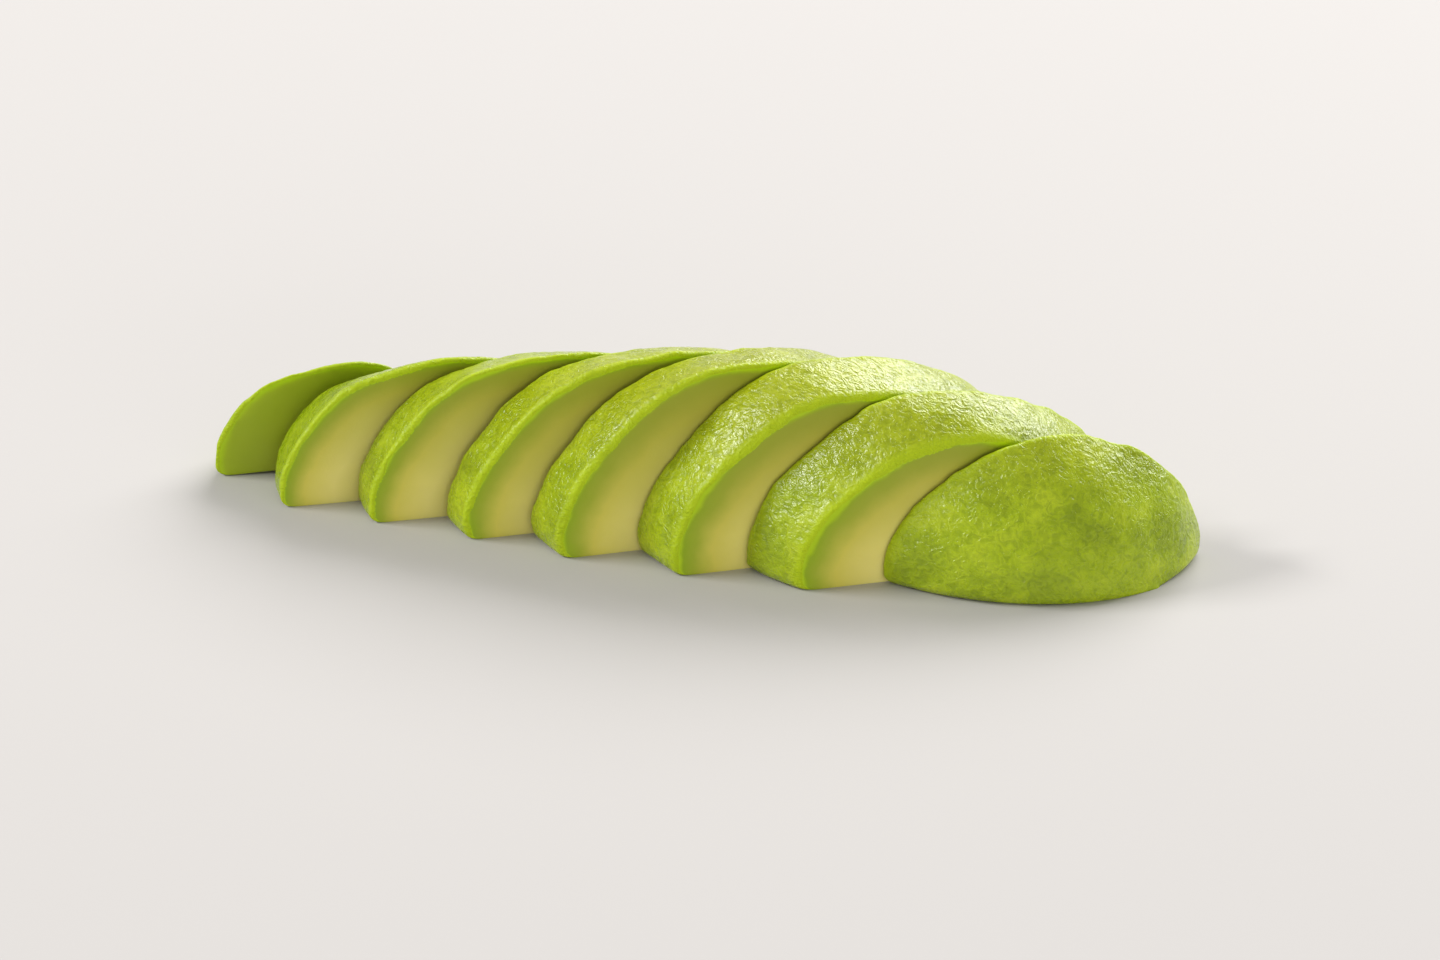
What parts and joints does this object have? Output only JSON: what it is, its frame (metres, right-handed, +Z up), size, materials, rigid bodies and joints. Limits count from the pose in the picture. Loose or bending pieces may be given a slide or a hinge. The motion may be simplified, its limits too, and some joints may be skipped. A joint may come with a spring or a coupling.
{
  "type": "sliced avocado half",
  "caption": "Peeled avocado half, stoned, cut across into slices that lie on their flat side and spread into a fan from the narrow neck to the round end.",
  "frame": {"origin": "on the resting surface, under the middle of the fan's box", "axes": "+X along the fan from the neck slice to the big end, +Z up"},
  "size_m": [0.175, 0.0464, 0.0341],
  "materials": {
    "peeled_flesh": "moist satin, bright yellow-green outside, yellow-beige inside"
  },
  "bodies": {
    "root": {"slice_1_neck": "peeled_flesh", "slice_2": "peeled_flesh", "slice_3": "peeled_flesh", "slice_4": "peeled_flesh", "slice_5": "peeled_flesh", "slice_6": "peeled_flesh", "slice_7": "peeled_flesh", "slice_8_end": "peeled_flesh"}
  },
  "joints": []
}
